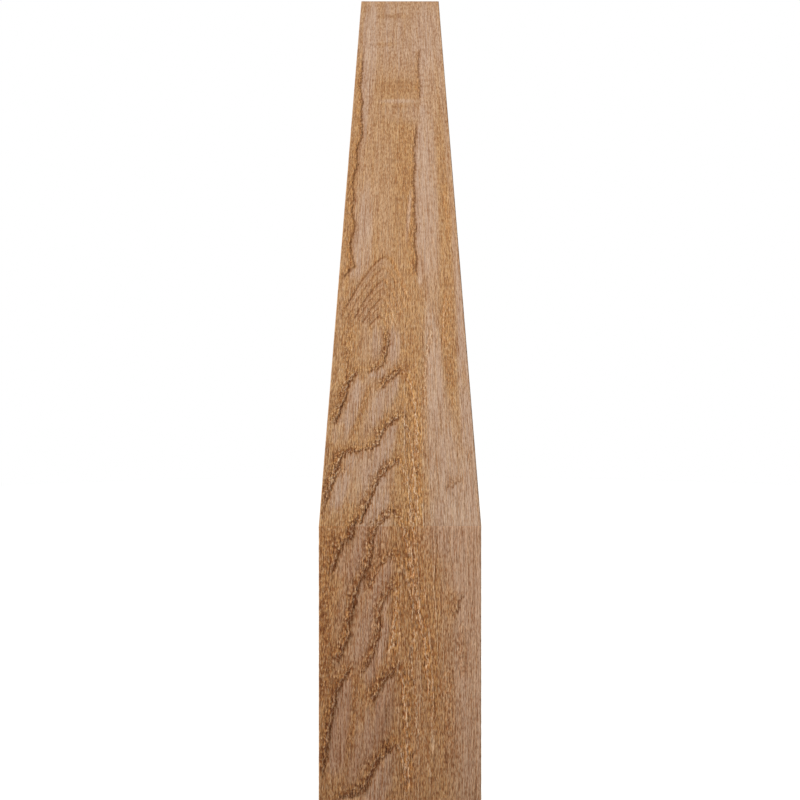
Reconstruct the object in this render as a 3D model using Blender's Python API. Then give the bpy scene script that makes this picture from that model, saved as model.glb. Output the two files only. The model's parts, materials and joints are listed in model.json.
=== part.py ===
"""A timber knee brace: one straight rough-sawn timber that runs from a post up and out to a beam.

Metres, +Z up. X is across the timber, the post is on the -Y side and the beam is on top.
The origin is the middle of the post seat, the plumb cut that bears on the post.
The hard late wood of each growth ring stands proud, so every face carries low ledges that
drop from one ring to the softer wood of the next.
"""

import math
import random
from collections import namedtuple

import bmesh
import bpy
import numpy as np
from mathutils import Vector
from mathutils.geometry import delaunay_2d_cdt

MM = 0.001

# Driving sizes
POST_LEG = 1.067
BEAM_LEG = 1.067
TIMBER_WIDTH = 0.140
TIMBER_DEPTH = 0.168
ARRIS = 1.5 * MM

# Raised grain
LEDGE_DROP = 2.4 * MM
LEDGE_RUN = 2.0 * MM
SOFT_WOOD_RISE = 22 * MM
LEDGE_STEP = 8 * MM
HIDDEN_LEDGE_STEP = 12 * MM
LEDGE_CLEARANCE = 5 * MM
LEDGE_END_FADE = 0.16
PLAIN_BORDER = 4 * MM
BORDER_FADE = 8 * MM

# The middle of the post seat stays in the plane of the cut, because the mount is there
MOUNT_FLAT = 12 * MM
MOUNT_FLAT_SIDES = 5
MOUNT_FADE = 8 * MM

# Spacing of the mesh points that carry the relief
BORDER_SPACING = 26 * MM
FIELD_SPACING = 27 * MM
FIELD_BORDER_GAP = 12 * MM
FIELD_LEDGE_GAP = 9.5 * MM
WELD = 0.01 * MM

TIMBER_COLOUR = (0.43, 0.25, 0.135, 1.0)
TIMBER_ROUGHNESS = 0.85

# A cathedral is a ring that comes to a peak and runs down the grain on a left and a right leg.
# A leg covers a run across and a fall along the grain, in steps or, with none, in one bow, and
# falls later the higher its curve. Sizes are millimetres, from the middle of the face and,
# along the grain, from the crease where the inner face meets the post seat.
Cathedral = namedtuple("Cathedral", "peak_across peak_along left right")
Leg = namedtuple("Leg", "run fall steps curve")
STEP_DEPTH = 0.85
# A seam is a ring that runs straight up the grain, proud on its left or its right.
Seam = namedtuple("Seam", "across low high lean proud_side")
SEAM_SWAY = 1.4
SEAM_WAVE = 17
SEAM_LONG_WAVE = 41

INNER_GRAIN = [
    Cathedral(-4, -190, Leg(48, 43, 1, 0.9), Leg(10, 40, 0, 2)),
    Cathedral(-3, -125, Leg(24, 34, 0.5, 1.0), Leg(9, 84, 0, 2)),
    Cathedral(-45, -128, Leg(20, 80, 0.5, 1.0), Leg(5, 14, 0, 2)),
    Cathedral(-7, -56, Leg(32, 74, 1, 0.7), Leg(4, 40, 0, 2)),
    Cathedral(-6, -26, Leg(26, 36, 1, 1.3), Leg(18, 60, 0, 1.6)),
    Cathedral(-6, 16, Leg(60, 143, 2.5, 1.1), Leg(36, 203, 0, 1.5)),
    Cathedral(-3, 75, Leg(58, 136, 2, 1.6), Leg(17, 124, 0, 2)),
    Cathedral(2, 129, Leg(66, 118, 2, 1.45), Leg(9, 50, 0, 2)),
    Cathedral(2, 196, Leg(23, 33, 0.5, 1.0), Leg(8, 50, 0, 2)),
    Cathedral(-43, 194, Leg(20, 76, 0.5, 0.8), Leg(5, 25, 0, 2)),
    Cathedral(-22, 285, Leg(14, 22, 0, 1.3), Leg(10, 25, 0, 2)),
    Cathedral(-21, 318, Leg(30, 52, 0, 1.1), Leg(19, 59, 0, 2)),
    Cathedral(-20, 352, Leg(40, 76, 0, 1.0), Leg(26, 86, 0, 2)),
    Cathedral(-18, 395, Leg(48, 115, 0, 1.0), Leg(30, 98, 0, 1.6)),
    Seam(-18, 206, 260, 0.12, "right"),
    Seam(46, 233, 324, 0.08, "right"),
    Seam(18, 356, 741, 0.01, "left"),
    Seam(-58, 368, 1025, 0.0, "left"),
    Seam(57, 405, 589, 0.0, "right"),
    Seam(29, 780, 981, 0.02, "left"),
]

# The other long faces have their rings placed by a seeded draw, as shares of the face's half
# width for what lies across it, and in millimetres along the grain.
HIDDEN_SEED = {"outer": 11, "left": 23, "right": 37}
HIDDEN_PEAK_GAP = (62, 96)
HIDDEN_PEAK_ACROSS = (-0.12, 0.06)
HIDDEN_LEFT_RUN = (0.5, 0.8)
HIDDEN_RIGHT_RUN = (0.2, 0.34)
HIDDEN_FALL = (70, 110)
HIDDEN_STEPS = (2, 3)
HIDDEN_SEAM_ACROSS = 0.84
HIDDEN_SEAM_START = (0.1, 0.3)
HIDDEN_SEAM_END = (0.7, 0.9)

axis_length = math.hypot(POST_LEG, BEAM_LEG)
seat_height = TIMBER_DEPTH * axis_length / BEAM_LEG
bearing_length = TIMBER_DEPTH * axis_length / POST_LEG
half_width = TIMBER_WIDTH / 2
beam_level = POST_LEG - seat_height / 2

up_the_grain = Vector((0, BEAM_LEG, POST_LEG)) / axis_length
out_of_inner_face = Vector((0, -POST_LEG, BEAM_LEG)) / axis_length

# The four corners of the side view, as (out from the post, height)
TOE = (0.0, -seat_height / 2)
TIP = (BEAM_LEG, beam_level)
HEEL = (BEAM_LEG - bearing_length, beam_level)
CREASE = (0.0, seat_height / 2)

Face = namedtuple("Face", "corners origin across along ledges flat_at", defaults=[None])
Ledge = namedtuple("Ledge", "points share")


def smooth(share):
    """Eases from 0 to 1 as share goes from 0 to 1."""
    held = np.clip(share, 0, 1)
    return held * held * (3 - 2 * held)


def corner(side, place):
    """A corner of the brace: side is -1 or 1 across, and place a corner of the side view."""
    return Vector((side * half_width, place[0], place[1]))


def even(points, spacing):
    """The same line with its points at an even spacing, as a numpy array."""
    line = np.array(points, float)
    lengths = np.linalg.norm(np.diff(line, axis=0), axis=1)
    travelled = np.concatenate([[0], np.cumsum(lengths)])
    count = max(3, round(travelled[-1] / spacing))
    at = np.linspace(0, travelled[-1], count + 1)
    return np.stack([np.interp(at, travelled, line[:, i]) for i in (0, 1)], axis=1)


def leg_line(ring, side):
    """Goes from the peak down the left leg, with side -1, or down the right leg, with side 1."""
    leg = ring.left if side < 0 else ring.right
    pieces = 40
    line = []
    for share in np.linspace(0, 1, pieces + 1):
        fallen = share
        if leg.steps:
            waves = 2 * math.pi * leg.steps
            fallen -= STEP_DEPTH * math.sin(waves * share) / waves
        across = ring.peak_across + side * leg.run * share
        line.append((across, ring.peak_along - leg.fall * fallen**leg.curve))
    return line


def seam_line(seam):
    """Goes along the grain, upwards where the proud wood is on the left."""
    pieces = max(8, round((seam.high - seam.low) / 8))
    line = []
    for along in np.linspace(seam.low, seam.high, pieces + 1):
        wander = math.sin(along / SEAM_WAVE) + 0.6 * math.sin(along / SEAM_LONG_WAVE + 1)
        across = seam.across + seam.lean * (along - seam.low)
        line.append((across + SEAM_SWAY * wander, along))
    return line if seam.proud_side == "left" else line[::-1]


def ring_line(ring):
    """The line of one growth ring on its face, in millimetres, with the proud wood on its left."""
    if isinstance(ring, Seam):
        return seam_line(ring)
    return leg_line(ring, -1)[::-1] + leg_line(ring, 1)[1:]


def ledge_of(ring, spacing=LEDGE_STEP):
    """The ledge of one growth ring, in metres, with each point's distance along it as a share."""
    points = even(np.array(ring_line(ring)) * MM, spacing)
    return Ledge(points, np.linspace(0, 1, len(points)))


def hidden_grain(seed, low, high, middle, reach):
    """Cathedrals and seams for a face of which the photograph shows nothing, in millimetres."""
    draw = random.Random(seed)
    rings = []
    at = low + draw.uniform(*HIDDEN_PEAK_GAP)
    while at < high:
        left_run = draw.uniform(*HIDDEN_LEFT_RUN) * reach
        right_run = draw.uniform(*HIDDEN_RIGHT_RUN) * reach
        left = Leg(left_run, draw.uniform(*HIDDEN_FALL), draw.choice(HIDDEN_STEPS), 1.2)
        right = Leg(right_run, draw.uniform(*HIDDEN_FALL), 0, 2)
        rings.append(Cathedral(middle + draw.uniform(*HIDDEN_PEAK_ACROSS) * reach, at, left, right))
        at += draw.uniform(*HIDDEN_PEAK_GAP)
    for side, proud in ((-1, "left"), (1, "right")):
        start = low + draw.uniform(*HIDDEN_SEAM_START) * (high - low)
        end = low + draw.uniform(*HIDDEN_SEAM_END) * (high - low)
        rings.append(Seam(middle + side * HIDDEN_SEAM_ACROSS * reach, start, end, 0, proud))
    return rings


def nearest(points, ledge):
    """Each point's distance to a ledge, positive on its proud side, and its share along it."""
    start, step = ledge.points[:-1], np.diff(ledge.points, axis=0)
    offset = points[:, None, :] - start[None]
    length_squared = (step**2).sum(1)
    along = np.clip((offset * step[None]).sum(2) / length_squared, 0, 1)
    gap = offset - along[..., None] * step[None]
    distance = np.linalg.norm(gap, axis=2)
    best = distance.argmin(1)
    rows = np.arange(len(points))
    chosen, towards = step[best], gap[rows, best]
    side = np.sign(chosen[:, 0] * towards[:, 1] - chosen[:, 1] * towards[:, 0])
    share = ledge.share[best] + along[rows, best] * (ledge.share[1] - ledge.share[0])
    return distance[rows, best] * side, share


def beyond_flat(points, face):
    """How far each point lies outside the flat place round the face's mount, if it has one."""
    if face.flat_at is None:
        return np.full(len(points), np.inf)
    return np.linalg.norm(points - face.flat_at, axis=1) - MOUNT_FLAT


def flat_outline(face):
    """The outline of the flat place round the face's mount: one closed run of points, or none."""
    if face.flat_at is None:
        return []
    turns = 2 * math.pi * np.arange(MOUNT_FLAT_SIDES + 1) / MOUNT_FLAT_SIDES
    return [face.flat_at + MOUNT_FLAT * np.stack([np.sin(turns), np.cos(turns)], axis=1)]


def relief(points, face, outline):
    """How deep the surface lies under the sawn face at each point."""
    cut = np.zeros(len(points))
    for ledge in face.ledges:
        distance, share = nearest(points, ledge)
        below = np.clip(-distance, 0, None)
        strength = smooth(np.minimum(share, 1 - share) / LEDGE_END_FADE)
        step = np.clip(below / LEDGE_RUN, 0, 1) * np.exp(-below / SOFT_WOOD_RISE)
        cut = np.maximum(cut, LEDGE_DROP * strength * step)
    cut *= smooth(beyond_flat(points, face) / MOUNT_FADE)
    return cut * smooth((inside_by(points, outline) - PLAIN_BORDER) / BORDER_FADE)


def inside_by(points, outline):
    """How far each point lies inside a convex outline that runs anticlockwise."""
    least = np.full(len(points), np.inf)
    for start, end in zip(outline, np.roll(outline, -1, axis=0)):
        way = (end - start) / np.linalg.norm(end - start)
        least = np.minimum(least, way[0] * (points[:, 1] - start[1]) - way[1] * (points[:, 0] - start[0]))
    return least


def inset(outline, by):
    """A convex outline moved in by the same distance on every side."""
    moved = []
    for i, here in enumerate(outline):
        before, after = outline[i - 1], outline[(i + 1) % len(outline)]
        back = (before - here) / np.linalg.norm(before - here)
        on = (after - here) / np.linalg.norm(after - here)
        sine = abs(back[0] * on[1] - back[1] * on[0])
        moved.append(here + (back + on) * by / sine)
    return np.array(moved)


def parts_of(start, end):
    """How many pieces an edge between two corners of the brace is divided into."""
    return max(1, round((end - start).length / BORDER_SPACING))


def border(face, outline):
    """The inset outline with points along its edges, and the index where each edge starts."""
    points, starts = [], []
    for i, here in enumerate(outline):
        after = outline[(i + 1) % len(outline)]
        parts = parts_of(face.corners[i], face.corners[(i + 1) % len(outline)])
        starts.append(len(points))
        points += [here + (after - here) * k / parts for k in range(parts)]
    return np.array(points), starts


def ledge_runs(face, outline):
    """The crest and foot lines of the ledges, cut where they near a border, flat or earlier ledge."""
    runs, taken = [], np.empty((0, 2))
    for ledge in face.ledges:
        way = np.gradient(ledge.points, axis=0)
        way /= np.linalg.norm(way, axis=1)[:, None]
        proud = np.stack([-way[:, 1], way[:, 0]], axis=1)
        clear = inside_by(ledge.points, outline) > PLAIN_BORDER + LEDGE_RUN
        clear &= beyond_flat(ledge.points, face) > LEDGE_RUN
        if len(taken):
            gaps = np.linalg.norm(ledge.points[:, None] - taken[None], axis=2).min(1)
            clear &= gaps > LEDGE_CLEARANCE + LEDGE_RUN
        kept = np.flatnonzero(clear)
        for group in np.split(kept, np.flatnonzero(np.diff(kept) > 1) + 1):
            if len(group) < 3:
                continue
            crest = ledge.points[group]
            runs += [crest, crest - proud[group] * LEDGE_RUN]
        taken = np.concatenate([taken, ledge.points[kept]])
    return runs


def field_points(face, outline, runs):
    """Staggered points over the face, clear of its border, its flat place and its ledges."""
    low, high = outline.min(0), outline.max(0)
    rows = np.arange(low[1], high[1], FIELD_SPACING * math.sqrt(3) / 2)
    columns = np.arange(low[0], high[0], FIELD_SPACING)
    points = [(c + (r % 2) * FIELD_SPACING / 2, along) for r, along in enumerate(rows) for c in columns]
    points = np.array(points)
    points = points[inside_by(points, outline) > FIELD_BORDER_GAP]
    points = points[beyond_flat(points, face) > FIELD_LEDGE_GAP]
    for run in runs:
        gaps = np.linalg.norm(points[:, None] - run[None], axis=2).min(1)
        points = points[gaps > FIELD_LEDGE_GAP]
    return points


def add_patch(mesh, face):
    """Adds one face of the brace with its ledges. Returns its border points, edge by edge."""
    from_origin = [c - face.origin for c in face.corners]
    flat = [Vector((c.dot(face.across), c.dot(face.along))) for c in from_origin]
    outline = inset(np.array(flat, float), ARRIS)
    rim, starts = border(face, outline)
    runs = ledge_runs(face, outline) + flat_outline(face)
    points = [rim, *runs, field_points(face, outline, runs)]
    edges, at = [], len(rim)
    for run in runs:
        edges += [(at + k, at + k + 1) for k in range(len(run) - 1)]
        at += len(run)
    points = [Vector(p) for p in np.concatenate(points)]
    fitted, _, triangles, *_ = delaunay_2d_cdt(points, edges, [list(range(len(rim)))], 1, 1e-6)
    places = np.array(fitted, float)
    depths = relief(places, face, outline)
    out = face.across.cross(face.along)

    def placed(point, depth=0.0):
        return face.origin + face.across * point[0] + face.along * point[1] - out * depth

    made = [mesh.verts.new(placed(p, d)) for p, d in zip(places, depths)]
    for triangle in triangles:
        mesh.faces.new([made[i] for i in triangle])
    edges_of = []
    for i, start in enumerate(starts):
        end = starts[i + 1] if i + 1 < len(starts) else len(rim)
        edges_of.append([placed(rim[k % len(rim)]) for k in range(start, end + 1)])
    return edges_of


def key(point):
    """A corner as whole tenths of a millimetre, to compare corners by."""
    return tuple(round(value / (0.1 * MM)) for value in point)


def add_arrises(mesh, faces, borders):
    """Joins the faces with the narrow flats where the sawn edges are eased, and fills the corners."""
    by_ends, by_corner = {}, {}
    for face, edges in zip(faces, borders):
        for i, edge in enumerate(edges):
            start, end = key(face.corners[i]), key(face.corners[(i + 1) % len(edges)])
            by_ends[start, end] = edge
            by_corner.setdefault(start, {})[end] = edge[0]
    for (start, end), edge in by_ends.items():
        if start > end:
            continue
        other = by_ends[end, start][::-1]
        for k in range(len(edge) - 1):
            quad = (edge[k + 1], edge[k], other[k], other[k + 1])
            mesh.faces.new([mesh.verts.new(p) for p in quad])
    for ends in by_corner.values():
        mesh.faces.new([mesh.verts.new(p) for p in ends.values()])


def brace_faces():
    """The six faces of the brace, each with its corners anticlockwise as seen from outside."""
    across, up = Vector((1, 0, 0)), Vector((0, 0, 1))
    inner_grain = [ledge_of(ring) for ring in INNER_GRAIN]
    length = axis_length / MM
    depth = TIMBER_DEPTH / MM
    width = TIMBER_WIDTH / MM
    seat_run = (seat_height * POST_LEG / axis_length) / MM

    def hidden(name, low, high, middle, size):
        rings = hidden_grain(HIDDEN_SEED[name], low, high, middle, size / 2)
        return [ledge_of(ring, HIDDEN_LEDGE_STEP) for ring in rings]

    return [
        Face(
            # Post seat
            [corner(-1, TOE), corner(1, TOE), corner(1, CREASE), corner(-1, CREASE)],
            Vector((0, *CREASE)), across, up, inner_grain, np.array((0, -seat_height / 2)),
        ),
        Face(
            # Inner face
            [corner(-1, CREASE), corner(1, CREASE), corner(1, HEEL), corner(-1, HEEL)],
            Vector((0, *CREASE)), across, up_the_grain, inner_grain,
        ),
        Face(
            # Beam seat
            [corner(-1, HEEL), corner(1, HEEL), corner(1, TIP), corner(-1, TIP)],
            Vector((0, *HEEL)), across, Vector((0, 1, 0)), [],
        ),
        Face(
            # Outer face
            [corner(1, TOE), corner(-1, TOE), corner(-1, TIP), corner(1, TIP)],
            Vector((0, *TOE)), -across, up_the_grain, hidden("outer", 0, length, 0, width),
        ),
        Face(
            # Right side
            [corner(1, CREASE), corner(1, TOE), corner(1, TIP), corner(1, HEEL)],
            corner(1, CREASE), -out_of_inner_face, up_the_grain,
            hidden("right", 0, length - seat_run, depth / 2, depth),
        ),
        Face(
            # Left side
            [corner(-1, TOE), corner(-1, CREASE), corner(-1, HEEL), corner(-1, TIP)],
            corner(-1, CREASE), out_of_inner_face, up_the_grain,
            hidden("left", 0, length - seat_run, -depth / 2, depth),
        ),
    ]


def timber_material():
    material = bpy.data.materials.new("rough_sawn_timber")
    material.use_nodes = True
    shader = material.node_tree.nodes["Principled BSDF"]
    shader.inputs["Base Color"].default_value = TIMBER_COLOUR
    shader.inputs["Roughness"].default_value = TIMBER_ROUGHNESS
    shader.inputs["Metallic"].default_value = 0.0
    material.diffuse_color = TIMBER_COLOUR
    return material


def build_brace():
    mesh = bmesh.new()
    faces = brace_faces()
    borders = [add_patch(mesh, face) for face in faces]
    add_arrises(mesh, faces, borders)
    bmesh.ops.remove_doubles(mesh, verts=mesh.verts, dist=WELD)
    bmesh.ops.recalc_face_normals(mesh, faces=mesh.faces)
    data = bpy.data.meshes.new("knee_brace")
    mesh.to_mesh(data)
    mesh.free()
    brace = bpy.data.objects.new("knee_brace", data)
    brace.data.materials.append(timber_material())
    bpy.context.scene.collection.objects.link(brace)
    return brace


for leftover in list(bpy.data.objects):
    bpy.data.objects.remove(leftover)
build_brace()
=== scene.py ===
"""A timber knee brace in a plain studio: one straight rough-sawn timber with its grain raised.

Metres, +Z up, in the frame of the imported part: the origin is the middle of the post seat, X is
across the timber, the post is on the -Y side and the beam is on top.
"""

import json
import math
import random
from collections import namedtuple

import bpy
import numpy as np
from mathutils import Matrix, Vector


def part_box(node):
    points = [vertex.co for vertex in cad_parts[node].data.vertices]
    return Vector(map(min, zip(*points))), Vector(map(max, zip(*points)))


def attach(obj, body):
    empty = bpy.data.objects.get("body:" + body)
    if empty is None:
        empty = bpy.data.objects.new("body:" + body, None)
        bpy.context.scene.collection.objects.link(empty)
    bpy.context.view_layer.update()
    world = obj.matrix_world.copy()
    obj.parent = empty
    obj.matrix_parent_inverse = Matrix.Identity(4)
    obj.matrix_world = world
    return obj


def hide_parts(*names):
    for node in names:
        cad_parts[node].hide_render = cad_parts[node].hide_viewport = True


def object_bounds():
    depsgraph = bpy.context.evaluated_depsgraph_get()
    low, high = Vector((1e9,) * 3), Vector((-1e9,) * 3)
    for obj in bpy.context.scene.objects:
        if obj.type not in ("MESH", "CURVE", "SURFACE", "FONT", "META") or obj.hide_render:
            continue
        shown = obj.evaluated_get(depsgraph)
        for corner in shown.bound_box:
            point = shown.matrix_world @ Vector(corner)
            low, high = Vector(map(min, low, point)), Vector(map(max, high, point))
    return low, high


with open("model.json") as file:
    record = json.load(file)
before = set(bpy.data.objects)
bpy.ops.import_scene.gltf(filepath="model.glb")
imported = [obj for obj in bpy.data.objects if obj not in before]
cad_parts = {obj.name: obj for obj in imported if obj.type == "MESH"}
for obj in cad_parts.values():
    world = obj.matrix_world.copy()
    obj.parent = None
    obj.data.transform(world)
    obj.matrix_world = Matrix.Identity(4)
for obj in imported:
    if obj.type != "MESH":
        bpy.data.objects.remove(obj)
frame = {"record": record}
cad_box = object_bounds()
scene = bpy.context.scene

# The studio
# A pale floor under a broad soft light from the upper left, with a dim even fill from all round.
# The camera stands level in front of the post seat, so the long inner face runs away from it.

CAMERA_PLACE = (0, -0.7515, 0.2273)
CAMERA_SENSOR = 36
CAMERA_LENS = 39.34
CAMERA_SHIFT = -0.0004

TO_THE_LIGHT = Vector((-0.56, -0.27, 0.78))
LIGHT_STRENGTH = 3.45
LIGHT_WIDTH = math.radians(24)
LIGHT_COLOUR = (1.0, 0.985, 0.96)
FILL_STRENGTH = 0.36

FLOOR_LEVEL = -1.1
FLOOR_REACH = 14
FLOOR_CORNERS = 48
FLOOR_ROUGHNESS = 0.9
FLOOR_COLOUR = (0.93, 0.93, 0.925, 1)

camera_data = bpy.data.cameras.new("level_camera")
camera_data.sensor_width = CAMERA_SENSOR
camera_data.lens = CAMERA_LENS
camera_data.shift_y = CAMERA_SHIFT
camera = bpy.data.objects.new("level_camera", camera_data)
camera.location = CAMERA_PLACE
camera.rotation_euler = (math.pi / 2, 0, 0)
scene.collection.objects.link(camera)
scene.camera = camera
scene.view_settings.view_transform = "Standard"

light_data = bpy.data.lights.new("soft_light", "SUN")
light_data.energy = LIGHT_STRENGTH
light_data.angle = LIGHT_WIDTH
light_data.color = LIGHT_COLOUR
light = bpy.data.objects.new("soft_light", light_data)
light.rotation_euler = TO_THE_LIGHT.to_track_quat("Z", "Y").to_euler()
scene.collection.objects.link(light)


def white_studio_walls():
    """A fill light from all round, which the camera sees as plain white."""
    world = bpy.data.worlds.new("white_studio")
    world.use_nodes = True
    nodes, links = world.node_tree.nodes, world.node_tree.links
    nodes.clear()
    out = nodes.new("ShaderNodeOutputWorld")
    choice = nodes.new("ShaderNodeMixShader")
    path = nodes.new("ShaderNodeLightPath")
    fill = nodes.new("ShaderNodeBackground")
    white = nodes.new("ShaderNodeBackground")
    fill.inputs["Strength"].default_value = FILL_STRENGTH
    for background in (fill, white):
        background.inputs["Color"].default_value = (1, 1, 1, 1)
    links.new(path.outputs["Is Camera Ray"], choice.inputs[0])
    links.new(fill.outputs[0], choice.inputs[1])
    links.new(white.outputs[0], choice.inputs[2])
    links.new(choice.outputs[0], out.inputs["Surface"])
    return world


def pale_floor():
    """A round floor that reaches past the camera's view on every side."""
    turns = 2 * math.pi * np.arange(FLOOR_CORNERS) / FLOOR_CORNERS
    places = [(FLOOR_REACH * math.cos(t), FLOOR_REACH * math.sin(t), FLOOR_LEVEL) for t in turns]
    mesh = bpy.data.meshes.new("studio_floor")
    mesh.from_pydata(places, [], [list(range(FLOOR_CORNERS))])
    finish = bpy.data.materials.new("studio_floor")
    finish.use_nodes = True
    shader = finish.node_tree.nodes["Principled BSDF"]
    shader.inputs["Base Color"].default_value = FLOOR_COLOUR
    shader.inputs["Roughness"].default_value = FLOOR_ROUGHNESS
    mesh.materials.append(finish)
    floor = bpy.data.objects.new("studio_floor", mesh)
    scene.collection.objects.link(floor)
    return floor


scene.world = white_studio_walls()
pale_floor()

# The knee brace
# One straight softwood timber, sawn to 140 by 168 mm and cut at 45 degrees at both ends. It was
# left rough: the soft early wood has torn and worn away, so each growth ring's hard late wood
# stands proud and ends in a low, splintered ledge. Nothing is fixed to it and it has no finish.

# The timber's sizes are in millimetres. An arris is the worn edge between two sawn faces
MM = 0.001
TIMBER_DEPTH = 168.0
ARRIS = 1.0

# How far the ledges stand, and the height and the width and length of the fibres and the shreds
LEDGE_DROP = 1.7
LEDGE_RISER = 0.8
SOFT_WOOD_RISE = 22.0
FIBRE_HEIGHT = 0.45
FIBRE_SIZE = (1.5, 24.0)
FIBRE_LEVELS = (0.3, 0.75)
SHRED_HEIGHT = 1.1
SHRED_SIZE = (1.7, 6.5)
SHRED_LEVELS = (0.42, 0.7)
GRAIN_SEED = 7.0

# How far apart the mesh's points are, how many triangles are kept, and where shading breaks
ACROSS_SPACING = 0.9
NEAR_SPACING = 1.2
FAR_SPACING = 2.4
SEAT_SPACING = 1.4
SHOWN_TRIANGLES = 152000
HIDDEN_TRIANGLES = 43000
CRISP_ANGLE = math.radians(42)

# A cathedral is a ring that comes to a peak and runs down the grain on a left and a right leg, in
# steps or in one bow. A drawn ring follows the points of a listed line, and a seam runs with
# the grain. A cathedral and a drawn ring have their proud wood on the left of their line. Sizes are
# millimetres, from the middle of the face and, along the grain, from the crease where the inner
# face meets the post seat.
Cathedral = namedtuple("Cathedral", "peak_across peak_along left right strength spread",
                       defaults=[1.0, 1.0])
Leg = namedtuple("Leg", "run fall steps curve")
Drawn = namedtuple("Drawn", "points strength spread", defaults=[1.0, 1.0])
Seam = namedtuple("Seam", "across low high lean proud_side strength spread", defaults=[1.0, 1.0])
STEP_DEPTH = 0.85
LEG_POINTS = 41
KNOT_STEPS = 5
SEAM_SWAY = 1.4
SEAM_WAVE = 17
SEAM_LONG_WAVE = 41
SEAM_LONG_SHARE = 0.6
SEAM_STEP = 8
SEAM_LEAST_POINTS = 8

SEAT_RINGS = [
    Drawn([(-54, -238), (-50, -233), (-36, -229), (-27, -219), (-20, -203), (-12, -195), (-4, -190),
           (0, -196), (3, -215), (6, -240)]),
    Drawn([(-26, -158), (-20, -142), (-12, -131), (-3, -125), (1, -130), (4, -160), (6, -200),
           (8, -238)]),
    Drawn([(-68, -222), (-63, -190), (-58, -160), (-52, -136), (-45, -128), (-41, -129)]),
    Drawn([(-39, -127), (-29, -121), (-22, -106), (-18, -90), (-17, -71), (-12, -60), (-5, -51),
           (-4, -62), (-5, -80), (-8, -104), (-12, -121)], 0.9),
    Drawn([(-31, -60), (-23, -46), (-18, -35), (-8, -27), (-4, -28), (2, -38), (9, -60),
           (14, -88)], 0.85),
    Drawn([(1, -1), (9, -30), (15, -63), (11, -92), (10, -126), (14, -165), (15, -201)], 0.85, 0.35),
    Drawn([(40, -120), (40, -150), (43, -192)], 0.5),
    Drawn([(53, -80), (51, -110), (55, -132)], 0.45),
    Drawn([(44, -79), (47, -75), (55, -60)], 0.5),
]
CREASE_RINGS = [
    Drawn([(-70, -133), (-56, -116), (-46, -99), (-42, -76), (-37, -54), (-29, -39), (-25, -24),
           (-22, -8), (-17, 5), (-8, 15), (-2, 10), (3, -4), (8, -32), (14, -66), (20, -100),
           (26, -150), (31, -203)]),
    Drawn([(-61, -62), (-58, -38), (-53, -20), (-43, -11), (-40, 2), (-33, 9), (-28, 25),
           (-22, 43), (-15, 61), (-5, 74), (0, 72), (4, 55), (8, 30), (11, -10), (14, -50)]),
]
INNER_FACE_RINGS = [
    Drawn([(-69, 10), (-66, 25), (-62, 47), (-57, 68), (-53, 82), (-43, 87), (-27, 91), (-20, 101),
           (-17, 113), (-8, 123), (2, 129), (4, 122), (8, 104), (11, 84), (12, 60), (14, 30), (16, 0),
           (18, -30)]),
    Drawn([(-65, 22), (-62, 45), (-57, 58), (-53, 63), (-50, 55)], 0.7),
    Drawn([(-21, 163), (-18, 174), (-12, 182), (-6, 190), (0, 196), (4, 190), (9, 178), (12, 158),
           (15, 132), (15, 97), (16, 60)]),
    Drawn([(-64, 118), (-58, 140), (-53, 170), (-50, 182), (-45, 194), (-41, 192)]),
    Drawn([(-38, 201), (-30, 196), (-22, 200), (-17, 211), (-14, 227), (-12, 245), (-13, 264)], 0.8),
    Drawn([(42, 41), (45, 43), (55, 52)], 0.45),
    Drawn([(30, 270), (32, 251), (27, 221), (24, 172), (24, 135)], 0.7, 0.4),
    Drawn([(50, 324), (50, 307), (46, 270), (46, 233)], 0.6),
    Drawn([(23, 345), (18, 365), (19, 392), (17, 420), (19, 455), (17, 490), (19, 527), (17, 564),
           (19, 600), (19, 640), (22, 687), (24, 736)], 0.75),
    Drawn([(28, 785), (30, 834), (28, 883), (30, 932), (32, 969)], 0.6),
    Drawn([(13, 527), (10, 472), (8, 429)], 0.6),
    Drawn([(56, 564), (57, 515), (58, 466), (57, 417)], 0.5),
    Drawn([(-68, 325), (-66, 350), (-58, 368), (-53, 374), (-57, 392), (-60, 425), (-56, 455),
           (-61, 491), (-60, 527), (-63, 560), (-58, 600), (-60, 640), (-54, 687), (-57, 736),
           (-57, 785), (-61, 834), (-60, 883), (-61, 932), (-58, 1006)], 0.8),
]

# The nested arches above the oval: the peak and the strength of each. Then the innermost arch's
# place across, left run and fall and right run and fall, and what each next arch adds to them
NESTED_ARCHES = ((285, 0.75), (301, 0.55), (314, 0.8), (332, 0.55), (347, 0.8), (370, 0.6), (393, 0.85))
INNERMOST_ARCH = (-21, 13, 20, 9, 26)
ARCH_GROWTH = (0.5, 6.0, 16.5, 3.6, 12.5)
ARCH_CURVES = (1.45, 1.7)
ARCH_SPREAD = 0.3
for nth, (peak, strength) in enumerate(NESTED_ARCHES):
    across, *runs = (first + added * nth for first, added in zip(INNERMOST_ARCH, ARCH_GROWTH))
    left, right = Leg(*runs[:2], 0, ARCH_CURVES[0]), Leg(*runs[2:], 0, ARCH_CURVES[1])
    INNER_FACE_RINGS.append(Cathedral(across, peak, left, right, strength, ARCH_SPREAD))

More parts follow.
